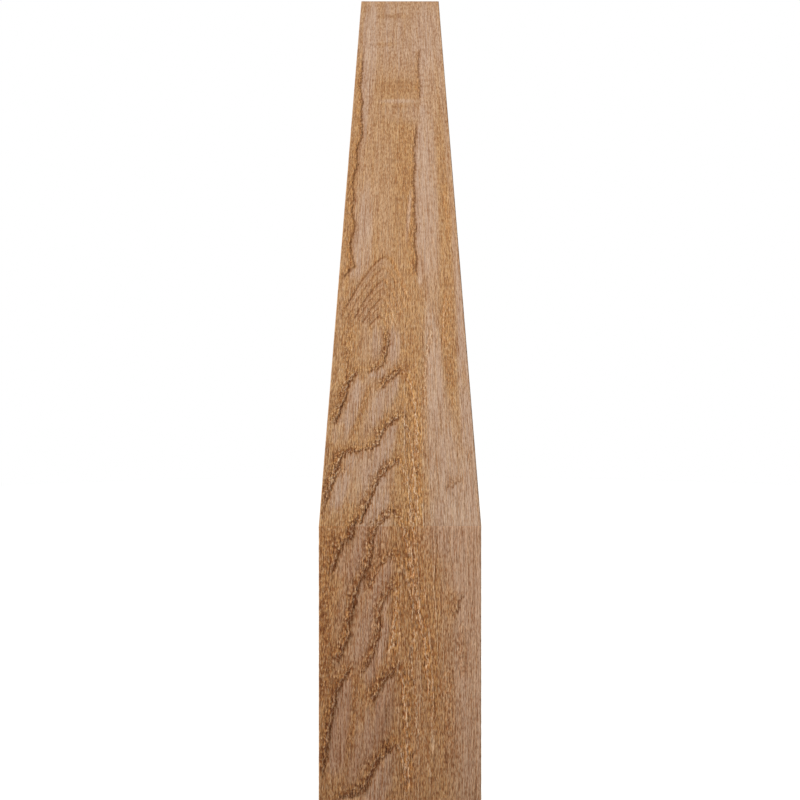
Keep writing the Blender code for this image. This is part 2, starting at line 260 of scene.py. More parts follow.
# Places where the wood's colour departs from the rest: middle, half sizes, how much pinker and
# darker, how thick with pale strands, and how far it leans across as it runs up the grain. Less
# than nothing in pink is torn ochre wood, and in dark it is paler wood
Patch = namedtuple("Patch", "across along reach_across reach_along pink dark strands lean",
                   defaults=[0.0, 0.0, 0.0])
PATCHES = [Patch(*row) for row in (
    # the seat, from the crease down
    (-38, -45, 9, 52, 0.9, 0, 0, 0.27),
    (-22, -75, 9, 42, 0.9, 0, 0, 0.3),
    (-18, -108, 6, 28, 0.7, 0, 0, 0.35),
    (-51, -172, 8, 42, 0.9, 0.32, 0, 0.12),
    (-25, -185, 13, 42, 0.9, 0.22, 0, 0.4),
    (-15, -222, 9, 30, 0.9, 0, 0, 0.35),
    (14, -168, 4, 62, 0.5),
    (61, -110, 20, 190, 0.9, -0.27),
    (58, -35, 18, 48, 0.0, -0.15),
    (30, -2, 16, 28, 0.6),
    (-42, -168, 4, 44, -0.6, 0.35, 0, 0.1),
    (-68, -134, 8, 14, -0.5, 0.6),
    (-65, -20, 8, 80, -0.6),
    (-66, -105, 8, 50, -0.65, 0.2),
    (46, -68, 6, 13, -0.9),
    # the inner face, from the crease up
    (-54, 40, 6, 40, 0.9, 0, 0, 0.24),
    (-20, 62, 10, 56, 0.9, 0, 0, 0.2),
    (-17, 12, 7, 25, 0.7, 0, 0, 0.2),
    (-19, 145, 10, 40, 0.9, 0, 0, 0.35),
    (-47, 137, 6, 42, 0.9, 0, 0, 0.14),
    (-37, 140, 3, 40, -0.6, 0.25, 0, 0.2),
    (-62, 108, 4, 14, 0.6),
    (-68, 90, 3, 9, -0.5, 0.8),
    (-25, 238, 8, 30, 0.9),
    (-6, 238, 6, 30, 0.7),
    (-23, 193, 10, 7, 0.7),
    (39, 80, 16, 120, 0.85, -0.15, 0, -0.04),
    (34, 215, 9, 80, 0.9, -0.3),
    (51, 236, 5, 95, -0.45, 0.08),
    (65, 170, 7, 180, 0.9, -0.1),
    (10, 120, 12, 150, -0.55),
    (34, 540, 15, 235, 1.0, -0.3),
    (54, 480, 6, 330, -0.2, 0.05),
    (66, 480, 5, 380, 0.5),
    (-43, 460, 10, 100, 0.7, -0.15),
    (-60, 560, 4, 240, -0.5, 0.12),
    (-68, 570, 4, 110, -0.5, 0.3),
    (-50, 960, 10, 240, 0.8, -0.25),
    (0, 752, 33, 34, 0.45, 0.05),
    (-3, 834, 31, 22, -0.4, 0.3),
    (-4, 785, 28, 6, 0.3, -0.6),
    (-2, 768, 12, 4, -0.4, 0.5),
    (-11, 1104, 26, 10, -0.3, 0.35),
    (-25, 987, 20, 9, -0.3, 0.35),
    (-54, 230, 6, 62, -0.8, 0.22),
    (-38, 250, 5, 55, 0.35),
    (-22, 560, 15, 160, 0.15, -0.12),
    (6, 600, 10, 120, -0.6, 0.2),
    (11, 485, 2.5, 55, 0.3, -0.8, 0, 0.05),
    (23, 350, 3, 14, 0.3, -0.6),
    (0, 1030, 78, 175, 0.7, -0.08),
    (48, 960, 26, 260, 0.4, -0.12),
    # pale strands
    (20, -120, 24, 160, 0.0, 0.0, 1.0),
    (10, 110, 12, 170, 0.0, 0.0, 0.7),
)]

# The faces that the photograph doesn't show have their rings placed by a seeded draw
HIDDEN_SEED = {"outer": 11, "left": 23, "right": 37}
HIDDEN_PEAK_GAP = (62, 96)
HIDDEN_PEAK_ACROSS = (-0.12, 0.06)
HIDDEN_LEFT_RUN = (0.5, 0.8)
HIDDEN_RIGHT_RUN = (0.2, 0.34)
HIDDEN_FALL = (70, 110)
HIDDEN_STEPS = (2, 3)
HIDDEN_LEFT_CURVE, HIDDEN_RIGHT_CURVE = 1.2, 2
HIDDEN_SEAM_ACROSS = 0.84
HIDDEN_SEAM_START = (0.1, 0.3)
HIDDEN_SEAM_END = (0.7, 0.9)

mounts = {mount["name"]: Vector(mount["pos_m"]) / MM for mount in frame["record"]["mounts"]}
half_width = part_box("knee_brace")[1].x / MM
bearing = TIMBER_DEPTH * math.sqrt(2)
crease = Vector((0, 0, bearing / 2))
toe = Vector((0, 0, -bearing / 2))
heel = mounts["beam_seat"] - Vector((0, bearing / 2, 0))
inner_length = (heel - crease).length

ACROSS = Vector((1, 0, 0))
UP_THE_GRAIN = (heel - crease).normalized()
OUT_OF_INNER_FACE = ACROSS.cross(UP_THE_GRAIN)


def smooth(share):
    """Eases from 0 to 1 as share goes from 0 to 1."""
    held = np.clip(share, 0, 1)
    return held * held * (3 - 2 * held)


def leg_line(ring, side):
    """Goes from the peak down the left leg, with side -1, or down the right leg, with side 1."""
    leg = ring.left if side < 0 else ring.right
    line = []
    for share in np.linspace(0, 1, LEG_POINTS):
        fallen = share
        if leg.steps:
            waves = 2 * math.pi * leg.steps
            fallen -= STEP_DEPTH * math.sin(waves * share) / waves
        across = ring.peak_across + side * leg.run * share
        line.append((across, ring.peak_along - leg.fall * fallen**leg.curve))
    return line


def seam_line(seam):
    """Goes along the grain, upwards where the proud wood is on the left."""
    line = []
    points = max(SEAM_LEAST_POINTS, round((seam.high - seam.low) / SEAM_STEP))
    for along in np.linspace(seam.low, seam.high, points):
        wander = math.sin(along / SEAM_WAVE) + SEAM_LONG_SHARE * math.sin(along / SEAM_LONG_WAVE + 1)
        across = seam.across + seam.lean * (along - seam.low)
        line.append((across + SEAM_SWAY * wander, along))
    return line if seam.proud_side == "left" else line[::-1]


def drawn_line(ring):
    """Rounds a listed line off into one smooth run of points."""
    knots = np.array(ring.points, float)
    ends = np.concatenate([[2 * knots[0] - knots[1]], knots, [2 * knots[-1] - knots[-2]]])
    line = []
    for before, here, after, beyond in zip(ends, ends[1:], ends[2:], ends[3:]):
        for t in np.linspace(0, 1, KNOT_STEPS + 1)[:-1]:
            slope_here, slope_after = (after - before) / 2, (beyond - here) / 2
            bend = 2 * here - 2 * after + slope_here + slope_after
            swing = 3 * (after - here) - 2 * slope_here - slope_after
            line.append(((bend * t + swing) * t + slope_here) * t + here)
    return line + [knots[-1]]


def ring_line(ring):
    """The line of one growth ring as an array of points, with the proud wood on its left."""
    if isinstance(ring, Seam):
        return np.array(seam_line(ring))
    if isinstance(ring, Drawn):
        return np.array(drawn_line(ring))
    return np.array(leg_line(ring, -1)[::-1] + leg_line(ring, 1)[1:])


def hidden_grain(seed, high, middle, reach):
    """Cathedrals and seams for a face of which the photograph shows nothing."""
    draw = random.Random(seed)
    rings = []
    at = draw.uniform(*HIDDEN_PEAK_GAP)
    while at < high:
        left_run = draw.uniform(*HIDDEN_LEFT_RUN) * reach
        right_run = draw.uniform(*HIDDEN_RIGHT_RUN) * reach
        left = Leg(left_run, draw.uniform(*HIDDEN_FALL), draw.choice(HIDDEN_STEPS), HIDDEN_LEFT_CURVE)
        right = Leg(right_run, draw.uniform(*HIDDEN_FALL), 0, HIDDEN_RIGHT_CURVE)
        rings.append(Cathedral(middle + draw.uniform(*HIDDEN_PEAK_ACROSS) * reach, at, left, right))
        at += draw.uniform(*HIDDEN_PEAK_GAP)
    for side, proud in ((-1, "left"), (1, "right")):
        start = draw.uniform(*HIDDEN_SEAM_START) * high
        end = draw.uniform(*HIDDEN_SEAM_END) * high
        rings.append(Seam(middle + side * HIDDEN_SEAM_ACROSS * reach, start, end, 0, proud))
    return rings


# How the figure spreads out from a ledge, and how finely it is worked out. The light comes from
# the upper left, so a ledge that faces down to the right has a shaded foot
LINE_END_FADE = 0.1
SOFT_REACH = 15.0
SOFT_SQUEEZE = 0.3
SOFT_BLUR = (1.6, 5.0)
SHAG_REACH = 7.5
SHAG_FOOT = 2.2
WINDOW_ABOVE = 40.0
WINDOW_BELOW = 150.0
LIT_SIDE = np.array((-0.9, 0.43))
SHADE_SLOPE, SHADE_START = 2, 0.3
SHOWN_STEP, HIDDEN_STEP = (1.0, 2.0), (2.5, 5.0)
FAR = 60.0
POINTS_AT_ONCE = 4000


def nearest(points, line, squeeze=1.0):
    """Each point's distance to a line, positive on its low side, with its share along the line
    and the direction that the line's low side faces. Squeeze shortens what lies along the grain."""
    scale = np.array((1.0, squeeze))
    start, step = line[:-1] * scale, np.diff(line * scale, axis=0)
    offset = (points * scale)[:, None, :] - start[None]
    along = np.clip((offset * step[None]).sum(2) / (step**2).sum(1), 0, 1)
    gap = offset - along[..., None] * step[None]
    distance = (gap**2).sum(2)
    best = distance.argmin(1)
    rows = np.arange(len(points))
    chosen, towards = step[best], gap[rows, best]
    side = np.sign(chosen[:, 1] * towards[:, 0] - chosen[:, 0] * towards[:, 1])
    low_way = np.stack([chosen[:, 1], -chosen[:, 0]], axis=1)
    low_way /= np.linalg.norm(low_way, axis=1)[:, None]
    share = (best + along[rows, best]) / len(start)
    return np.sqrt(distance[rows, best]) * side, share, low_way


def blurred(values, axis, reach):
    """The mean of each value and its neighbours within a reach of steps along one axis, twice."""
    reach = max(1, round(reach))
    for _ in range(2):
        padded = np.pad(values, [(reach + 1, reach) if a == axis else (0, 0) for a in (0, 1)], "edge")
        total = np.cumsum(padded, axis=axis)
        high, low = (np.take(total, np.arange(values.shape[axis]) + shift, axis)
                     for shift in (2 * reach + 1, 0))
        values = (high - low) / (2 * reach + 1)
    return values


class Figure:
    """What the growth rings do to one sawn face, on an even grid of points over it.

    cut is how far the surface has worn down, from 0 to 1; soft is bare early wood; shag is torn
    late wood; ledge is the distance below the nearest ledge; tone is that ledge's light or shade."""

    def __init__(self, low, high, rings, step):
        self.low, self.step = np.array(low, float), np.array(step)
        self.size = tuple(np.ceil((np.array(high) - self.low) / self.step).astype(int) + 1)
        self.cut, self.soft, self.shag = (np.zeros(self.size) for _ in range(3))
        self.ledge, self.tone = np.full(self.size, FAR), np.zeros(self.size)
        for ring in rings:
            self.add_ring(ring)
        self.soft = blurred(blurred(self.soft, 0, SOFT_BLUR[0] / step[0]), 1, SOFT_BLUR[1] / step[1])

    def add_ring(self, ring):
        """Adds what one growth ring does to the face round its line."""
        line = ring_line(ring)
        margins = np.array(((FAR, WINDOW_BELOW), (FAR, WINDOW_ABOVE)))
        start = np.floor((line.min(0) - margins[0] - self.low) / self.step).astype(int)
        end = np.ceil((line.max(0) + margins[1] - self.low) / self.step).astype(int)
        start, end = np.maximum(start, 0), np.minimum(end, self.size)
        if (end <= start).any():
            return
        window = (slice(start[0], end[0]), slice(start[1], end[1]))
        across, along = np.meshgrid(*(np.arange(a, b) for a, b in zip(start, end)), indexing="ij")
        points = self.low + np.stack([across.ravel(), along.ravel()], axis=1) * self.step
        parts = np.array_split(points, len(points) // POINTS_AT_ONCE + 1)
        measured = [nearest(part, line) for part in parts]
        distance, share, low_way = (np.concatenate(column) for column in zip(*measured))
        squeezed = [nearest(part, line, SOFT_SQUEEZE)[0] for part in parts]
        far_below = np.clip(np.concatenate(squeezed), 0, None)
        below = np.clip(distance, 0, None)
        low_side = distance > 0
        strength = ring.strength * smooth(np.minimum(share, 1 - share) / LINE_END_FADE)
        worn = np.exp(-below / (SOFT_WOOD_RISE * ring.spread))
        cut = strength * ring.spread**0.5 * np.clip(below / LEDGE_RISER, 0, 1) * worn
        shaded = smooth(-(low_way @ LIT_SIDE) * SHADE_SLOPE + SHADE_START)
        soft = strength * low_side * shaded * np.exp(-far_below / (SOFT_REACH * ring.spread))
        reach = np.where(low_side, SHAG_FOOT, SHAG_REACH * ring.spread)
        torn = np.exp(-((distance / reach) ** 2))
        shape = across.shape
        for kept, new in ((self.cut, cut), (self.soft, soft), (self.shag, strength * torn)):
            kept[window] = np.maximum(kept[window], new.reshape(shape))
        nearer = (np.abs(distance) < np.abs(self.ledge[window].ravel())).reshape(shape)
        tone = strength * (low_way @ LIT_SIDE)
        self.ledge[window] = np.where(nearer, distance.reshape(shape), self.ledge[window])
        self.tone[window] = np.where(nearer, tone.reshape(shape), self.tone[window])

    def at(self, values, across, along):
        """One of the grids, read between its points."""
        x = np.clip((across - self.low[0]) / self.step[0], 0, self.size[0] - 1.001)
        y = np.clip((along - self.low[1]) / self.step[1], 0, self.size[1] - 1.001)
        i, j = x.astype(int), y.astype(int)
        x, y = x - i, y - j
        low = values[i, j] * (1 - y) + values[i, j + 1] * y
        high = values[i + 1, j] * (1 - y) + values[i + 1, j + 1] * y
        return low * (1 - x) + high * x


# Splintering: each narrow bundle of fibres breaks off at a length of its own
SPLINTER_SEED = 41
SPLINTER_WIDTH = 1.2
SPLINTER_LENGTH = 6.0
SPLINTER_REACH = 3.6
WOBBLE_SIZE = 4.0
WOBBLE_REACH = 0.9
BEAD_SIZE = (5.0, 3.2)
BEAD_REACH = 1.3
CELLS = 512
splinters = np.random.default_rng(SPLINTER_SEED).uniform(-1, 1, (4, CELLS, CELLS))


def cell_noise(layer, x, y, eased):
    """Even noise from -1 to 1 with cells one unit wide, eased along y and, if asked, along x."""
    i, j = np.floor(x).astype(int), np.floor(y).astype(int)
    tx, ty = (smooth(x - i) if eased else 0.0), smooth(y - j)
    grid = splinters[layer]

    def corner(a, b):
        return grid[(i + a) % CELLS, (j + b) % CELLS]

    low = corner(0, 0) * (1 - ty) + corner(0, 1) * ty
    high = corner(1, 0) * (1 - ty) + corner(1, 1) * ty
    return low * (1 - tx) + high * tx


# Round the nested arches, half way up the inner face, the edges are splintered less
CALM_PLACE = 330
CALM_REACH = 85
CALM = 0.75


def splintered(across, along):
    """Moves places on a face about, so that what is read there has a splintered edge."""
    rough = 1 - CALM * np.exp(-(((along - CALM_PLACE) / CALM_REACH) ** 2))
    sideways = WOBBLE_REACH * cell_noise(0, across / WOBBLE_SIZE, along / WOBBLE_SIZE, True)
    sideways += BEAD_REACH * cell_noise(3, across / BEAD_SIZE[0], along / BEAD_SIZE[1], True)
    breaks = cell_noise(1, across / SPLINTER_WIDTH, along / SPLINTER_LENGTH, False)
    return across + rough * sideways, along + rough * SPLINTER_REACH * breaks


# A sawn face: its name, the direction out of it, the place its sizes run from, its two ways, its
# figure, the borders at which its relief runs out, and whether the photograph shows it
Face = namedtuple("Face", "name out origin across along figure low high shown")

visible_low, visible_high = (-half_width, -bearing), (half_width, inner_length)
visible_rings = SEAT_RINGS + CREASE_RINGS + INNER_FACE_RINGS
visible_figure = Figure(visible_low, visible_high, visible_rings, SHOWN_STEP)
side_low, side_high = -TIMBER_DEPTH, inner_length + TIMBER_DEPTH
outer_length = side_high - side_low
plain_figure = Figure((-half_width, 0), (half_width, bearing), [], HIDDEN_STEP)


def hidden_face(name, out, origin, across, low, high):
    """A face along the grain that the photograph doesn't show, with a figure of its own."""
    middle, reach = (low[0] + high[0]) / 2, (high[0] - low[0]) / 2
    figure = Figure(low, high, hidden_grain(HIDDEN_SEED[name], high[1], middle, reach), HIDDEN_STEP)
    return Face(name, out, origin, across, UP_THE_GRAIN, figure, low, high, False)


to_the_side = half_width * ACROSS
FACES = [
    Face("post_seat", Vector((0, -1, 0)), crease, ACROSS, Vector((0, 0, 1)), visible_figure,
         (-half_width, -bearing), (half_width, FAR), True),
    Face("inner", OUT_OF_INNER_FACE, crease, ACROSS, UP_THE_GRAIN, visible_figure,
         (-half_width, -FAR), (half_width, inner_length), True),
    Face("beam_seat", Vector((0, 0, 1)), heel, ACROSS, Vector((0, 1, 0)), plain_figure,
         (-half_width, 0), (half_width, bearing), False),
    hidden_face("outer", -OUT_OF_INNER_FACE, toe, -ACROSS,
                (-half_width, 0), (half_width, outer_length)),
    hidden_face("right", ACROSS, crease + to_the_side, -OUT_OF_INNER_FACE,
                (0, side_low), (TIMBER_DEPTH, side_high)),
    hidden_face("left", -ACROSS, crease - to_the_side, OUT_OF_INNER_FACE,
                (-TIMBER_DEPTH, side_low), (0, side_high)),
]


def on_face(face, places):
    """Where places lie on a face: across it and along it."""
    offset = places - np.array(face.origin)
    return offset @ np.array(face.across), offset @ np.array(face.along)


def spaced(length, first, last):
    """Shares from 0 to 1 of a length, with the spacing growing from first to last."""
    count = round(length / ((first + last) / 2))
    steps = np.linspace(first, last, count)
    return np.concatenate([[0], np.cumsum(steps)]) / steps.sum()


def eased_ends(shares, length):
    """Distances along a length: the ends, the arrises beside them, and the shares in between."""
    return np.concatenate([[0], ARRIS + shares * (length - 2 * ARRIS), [length]])


coarser = 1.0
across_shares = spaced(2 * half_width, ACROSS_SPACING * coarser, ACROSS_SPACING * coarser)
across_at = eased_ends(across_shares, 2 * half_width) - half_width
depth_shares = spaced(bearing, SEAT_SPACING * coarser, SEAT_SPACING * coarser)
depth_at = eased_ends(depth_shares, TIMBER_DEPTH)
along_shares = spaced(inner_length, NEAR_SPACING * coarser, FAR_SPACING * coarser)
last_across, last_depth, last_along = len(across_at) - 1, len(depth_at) - 1, len(along_shares) + 1


def lattice(i, j, k):
    """The number of the lattice point at step i across, j deep and k along the grain."""
    return (i * (last_depth + 1) + j) * (last_along + 1) + k


def face_grid(name):
    """The lattice points of one face, across it and along it, so that it faces outwards."""
    i, j, k = (np.arange(last + 1) for last in (last_across, last_depth, last_along))
    across, deep = i[:, None], j[:, None]
    steps = {
        "post_seat": (across, j[::-1], 0), "inner": (across, 0, k),
        "beam_seat": (across, j, last_along), "outer": (across[::-1], last_depth, k),
        "right": (last_across, deep, k), "left": (0, deep[::-1], k),
    }
    return lattice(*steps[name])


def lattice_places(numbers):
    """Where lattice points lie on the sharp-edged timber, and their steps across, deep and along."""
    i, j, k = np.unravel_index(numbers, (last_across + 1, last_depth + 1, last_along + 1))
    depth = depth_at[j]
    length = inner_length + 2 * depth
    inside = ARRIS + along_shares[np.clip(k - 1, 0, last_along - 2)] * (length - 2 * ARRIS)
    along = np.where(k == 0, 0, np.where(k == last_along, length, inside)) - depth
    places = np.array(crease) + across_at[i][:, None] * np.array(ACROSS)
    places = places + along[:, None] * np.array(UP_THE_GRAIN)
    places = places - depth[:, None] * np.array(OUT_OF_INNER_FACE)
    return places, (i, j, k)


# How the long edges are nicked, how the relief dies out near them, and how much of the fibres'
# height is kept on the edges and on the faces out of view. FACE_GAP sets the faces' grain apart
NICK_SHARE = 0.28
NICK_DEPTH = 1.3
NICK_LENGTH = 5.0
BORDER_FADE = 4.0
BORDER_RELIEF = 0.25
ARRIS_FIBRES = 0.2
HIDDEN_FIBRES = 0.5
FACE_GAP = 37.0


def inward_ways(steps):
    """The way into the timber from each point, which is one deep under every face it lies on."""
    i, j, k = steps
    # Whether a point lies on each of the FACES, in their order
    touching = (k == 0, j == 0, k == last_along, j == last_depth, i == last_across, i == 0)
    kinds, kind_of = np.unique(np.stack(touching, axis=1), axis=0, return_inverse=True)
    ways = np.zeros((len(kinds), 3))
    arris = np.zeros(len(kinds))
    for n, kind in enumerate(kinds):
        normals = np.array([np.array(face.out) for face, met in zip(FACES, kind) if met])
        ways[n] = -np.linalg.pinv(normals) @ np.ones(len(normals))
        if len(normals) > 1:
            arris[n] = ARRIS / 2 * math.sqrt(1 - (normals[0] @ normals[1]) ** 2)
    return ways[kind_of.ravel()], arris[kind_of.ravel()]


def nicks(grain):
    """How deep the edges are nicked at each place in the grain."""
    nick = cell_noise(2, grain[:, 0] / NICK_LENGTH + grain[:, 2], grain[:, 1] / NICK_LENGTH, True)
    return np.clip(nick - (1 - NICK_SHARE), 0, None) / NICK_SHARE * NICK_DEPTH


def blank():
    """The sawn timber with eased, nicked edges, before its grain is raised. Each point carries
    its way inwards, its wear and tear, and its place in the grain."""
    grids = [face_grid(face.name) for face in FACES]
    numbers, order = np.unique(np.concatenate([grid.ravel() for grid in grids]), return_inverse=True)
    places, steps = lattice_places(numbers)
    inward, arris = inward_ways(steps)
    cut, shag, free = (np.zeros(len(numbers)) for _ in range(3))
    grain = np.zeros((len(numbers), 3))
    hold = np.zeros(len(numbers))
    quads, at = [], 0
    for number, (face, grid) in enumerate(zip(FACES, grids)):
        local = order[at:at + grid.size].reshape(grid.shape)
        at += grid.size
        sides = (local[:-1, :-1], local[1:, :-1], local[1:, 1:], local[:-1, 1:])
        quads.append(np.stack([side.ravel() for side in sides], axis=1))
        own = local.ravel()
        across, along = on_face(face, places[own])
        inside = np.minimum(np.minimum(across - face.low[0], face.high[0] - across),
                            np.minimum(along - face.low[1], face.high[1] - along))
        fade = smooth(inside / BORDER_FADE)
        moved = splintered(across, along)
        worn = face.figure.at(face.figure.cut, *moved) * (BORDER_RELIEF + (1 - BORDER_RELIEF) * fade)
        cut[own] = np.maximum(cut[own], worn)
        shag[own] = face.figure.at(face.figure.shag, *moved)
        free[own] = np.where(arris[own] > 0, ARRIS_FIBRES, fade) * (1 if face.shown else HIDDEN_FIBRES)
        grain[own] = np.stack([across, along, np.full(len(own), FACE_GAP * number)], axis=1)
        if face.shown:
            hold[own] = 1
    # On an edge the way inwards is longer than 1, so the wear there is made less by as much
    slim = 1 / np.linalg.norm(inward, axis=1)
    cut, free = cut * slim, free * slim
    places = places + inward * (arris + slim * (arris > 0) * nicks(grain))[:, None]

    mesh = bpy.data.meshes.new("sawn_timber")
    mesh.from_pydata(places * MM, [], np.concatenate(quads))
    carried = {"inward": inward, "grain_place": grain, "cut": cut, "shag": shag, "free": free}
    for name, values in carried.items():
        kind, part = ("FLOAT_VECTOR", "vector") if values.ndim == 2 else ("FLOAT", "value")
        mesh.attributes.new(name, kind, "POINT").data.foreach_set(part, values.ravel())
    timber = bpy.data.objects.new("sawn_timber", mesh)
    scene.collection.objects.link(timber)
    held = timber.vertex_groups.new(name="held")
    held.add([int(n) for n in np.flatnonzero(hold)], 1.0, "REPLACE")
    shown_triangles = 2 * sum(len(q) for q, face in zip(quads, FACES) if face.shown)
    return timber, shown_triangles


class Socket:
    """A node's output. Arithmetic on it adds Math nodes, and node() adds any other node."""

    def __init__(self, tree, socket=None):
        self.tree, self.socket = tree, socket

    def node(self, kind, settings, sockets, result=0):
        """Adds a node: first its settings, then the values or links of its sockets."""
        made = self.tree.nodes.new(kind)
        for name, value in settings.items():
            setattr(made, name, value)
        for name, value in sockets.items():
            if isinstance(value, Socket):
                self.tree.links.new(value.socket, made.inputs[name])
            else:
                made.inputs[name].default_value = value
        return Socket(self.tree, made.outputs[result])

    def maths(self, operation, first, second=0.0):
        return self.node("ShaderNodeMath", {"operation": operation}, {0: first, 1: second})

    def __add__(self, other):
        return self.maths("ADD", self, other)

    def __sub__(self, other):
        return self.maths("SUBTRACT", self, other)

    def __rsub__(self, other):
        return self.maths("SUBTRACT", other, self)

    def __mul__(self, other):
        return self.maths("MULTIPLY", self, other)

    def __truediv__(self, other):
        return self.maths("DIVIDE", self, other)

    __radd__, __rmul__ = __add__, __mul__

    def ease(self, start, end):
        """0 below start, 1 above end, and a smooth rise between."""
        sockets = {"Value": self, "From Min": start, "From Max": end}
        return self.node("ShaderNodeMapRange", {"interpolation_type": "SMOOTHSTEP"}, sockets)

    def band(self, start, full, fading, end):
        """0 outside start and end, 1 from full to fading, and smooth between."""
        return self.ease(start, full) * (1 - self.ease(fading, end))

    def held(self):
        """The same value kept between 0 and 1."""
        return self.node("ShaderNodeMath", {"operation": "ADD", "use_clamp": True}, {0: self, 1: 0.0})

    def swing(self):
        """How far a noise is above or below its middle."""
        return self - 0.5


def raised_grain():
    """The tree that wears the soft wood down and lifts the torn fibres, always inwards from the
    sawn face. Its inputs are in metres, apart from the sizes that divide places in the grain."""
    tree = bpy.data.node_groups.new("raised_grain", "GeometryNodeTree")
    inputs = {"Timber": "Geometry", "Ledge drop": "Float", "Fibre height": "Float",
              "Shred height": "Float", "Seed": "Float", "Fibre size": "Vector",
              "Shred size": "Vector", "Finish": "Material"}
    for name, kind in inputs.items():
        tree.interface.new_socket(name, in_out="INPUT", socket_type="NodeSocket" + kind)
    tree.interface.new_socket("Timber", in_out="OUTPUT", socket_type="NodeSocketGeometry")
    given = tree.nodes.new("NodeGroupInput")
    given = {socket.name: Socket(tree, socket) for socket in given.outputs}
    start = Socket(tree)

    def carried(name, kind="FLOAT"):
        return start.node("GeometryNodeInputNamedAttribute", {"data_type": kind}, {"Name": name})

    def fibres(size):
        place = start.node("ShaderNodeVectorMath", {"operation": "DIVIDE"},
                           {0: carried("grain_place", "FLOAT_VECTOR"), 1: given[size]})
        return start.node("ShaderNodeTexNoise", {"noise_dimensions": "4D"},
                          {"Vector": place, "W": given["Seed"], "Scale": 1.0, "Detail": 1.0})

    fine = fibres("Fibre size").ease(*FIBRE_LEVELS) * given["Fibre height"]
    torn = fibres("Shred size").ease(*SHRED_LEVELS) * given["Shred height"] * carried("shag")
    deep = carried("cut") * given["Ledge drop"] + (fine + torn) * carried("free")
    way = start.node("ShaderNodeVectorMath", {"operation": "SCALE"},
                     {0: carried("inward", "FLOAT_VECTOR"), "Scale": deep})
    moved = start.node("GeometryNodeSetPosition", {}, {"Geometry": given["Timber"], "Offset": way})
    real = start.node("GeometryNodeRealizeInstances", {}, {"Geometry": moved})
    done = start.node("GeometryNodeSetMaterial", {}, {"Geometry": real, "Material": given["Finish"]})
    out = tree.nodes.new("NodeGroupOutput")
    tree.links.new(done.socket, out.inputs[0])
    return tree


# The bare wood's colours, from ochre late wood and pinkish early wood to the painted shade under a ledge
OCHRE = (0.455, 0.262, 0.118, 1)
TORN = (0.560, 0.295, 0.098, 1)
PINK = (0.435, 0.292, 0.203, 1)
PALE = (0.560, 0.400, 0.285, 1)
BROWN = (0.265, 0.115, 0.045, 1)
SHADE = (0.145, 0.053, 0.018, 1)
# Painted shade: the reddish brown at the foot of ledges turned from the light and in the gaps between
# crumbs
SHADOW_BROWN = (0.215, 0.080, 0.022, 1)
# Pale tips and strands, and also painted highlight on lit ledge crests and on the knobs between crumbs
CREAM = (0.740, 0.560, 0.390, 1)

# What these are multiplied by: in the dark and the light streaks, at the foot, and on the seat,
# where a warmer tint is painted shade for a face turned from the light
DEEP = (0.67, 0.50, 0.37, 1)
BRIGHT = (1.10, 1.12, 1.15, 1)
FOOT_TINT = (0.62, 0.61, 0.60, 1)
SEAT_SHADE_TINT = (1.15, 1.06, 0.99, 1)
FOOT_START, FOOT_REACH, FOOT_CURVE = -240, 540, 0.5

# Patterns that run with the grain: width and length in millimetres, a seed, how much detail, and
# the two levels of the noise between which a mark comes in. Higher up the streaks run longer
Streak = namedtuple("Streak", "width length seed detail low high", defaults=[1.0, 0.0, 1.0])
FINE_STREAK = Streak(0.85, 30, 1.0)
FINER_STREAK = Streak(0.75, 12, 2.0)
BROAD_STREAK = Streak(6, 170, 3.0, 2.0)
CLOUD = Streak(22, 60, 4.0, 2.0)
SPECK = Streak(0.85, 4.0, 9.0)
CRACKLE = Streak(3.2, 3.5, 17.0)
THREAD = Streak(1.2, 45, 14.0, low=0.5, high=0.66)
STAIN = Streak(2.6, 75, 10.0, low=0.6, high=0.72)
PIT = Streak(0.95, 6.5, 5.0, low=0.5, high=0.66)
TIP = Streak(0.9, 6.0, 6.0, low=0.52, high=0.68)
TATTER = Streak(5, 9, 16.0, low=0.38, high=0.6)
FRAY = Streak(0.9, 2.6, 8.0)
STREAK_GROWTH = 500
DISTANT = (200, 450)
CRACKLE_RISE = (250, 850)
TORN_SHARE = 0.7

# The torn crumbs along the ledges, whose gaps are painted shade and whose knobs painted highlight, and
# the loose strands
CRUMB_WIDTH, CRUMB_LENGTH, CRUMB_SEED = 2.0, 2.7, 13.0
CRUMB_SWAY, CRUMB_STIR = 1.8, 1.6
CRUMB_LEVELS, KNOB_LEVELS = (0.3, 0.7), (0.05, 0.45)
STRAND_SPACING = 7.5
STRAND_WANDER = Streak(24, 330, 7.0)
STRAND_WAVER = Streak(4, 30, 11.0)
STRAND_BREAK = Streak(3.0, 24, 12.0, low=0.38, high=0.56)
PALE_STRAND, DARK_STRAND = (0.0, 0.06, 0.1, 0.17), (0.12, 0.18, 0.22, 0.34)

# Bands across a ledge, in millimetres below its edge
LEDGE_SHADE_BAND = (-1.5, 0.0, 1.0, 4.5)
LEDGE_FOOT = (-0.5, 0.1, 0.5, 1.7)
LEDGE_CREST = (-1.7, -0.7, -0.5, 0.3)

BUMP_STRENGTH, BUMP_DEPTH = 0.6, 0.0016
ROUGHNESS, ROUGHNESS_RISE = 0.78, 0.16
SHEEN = 0.25


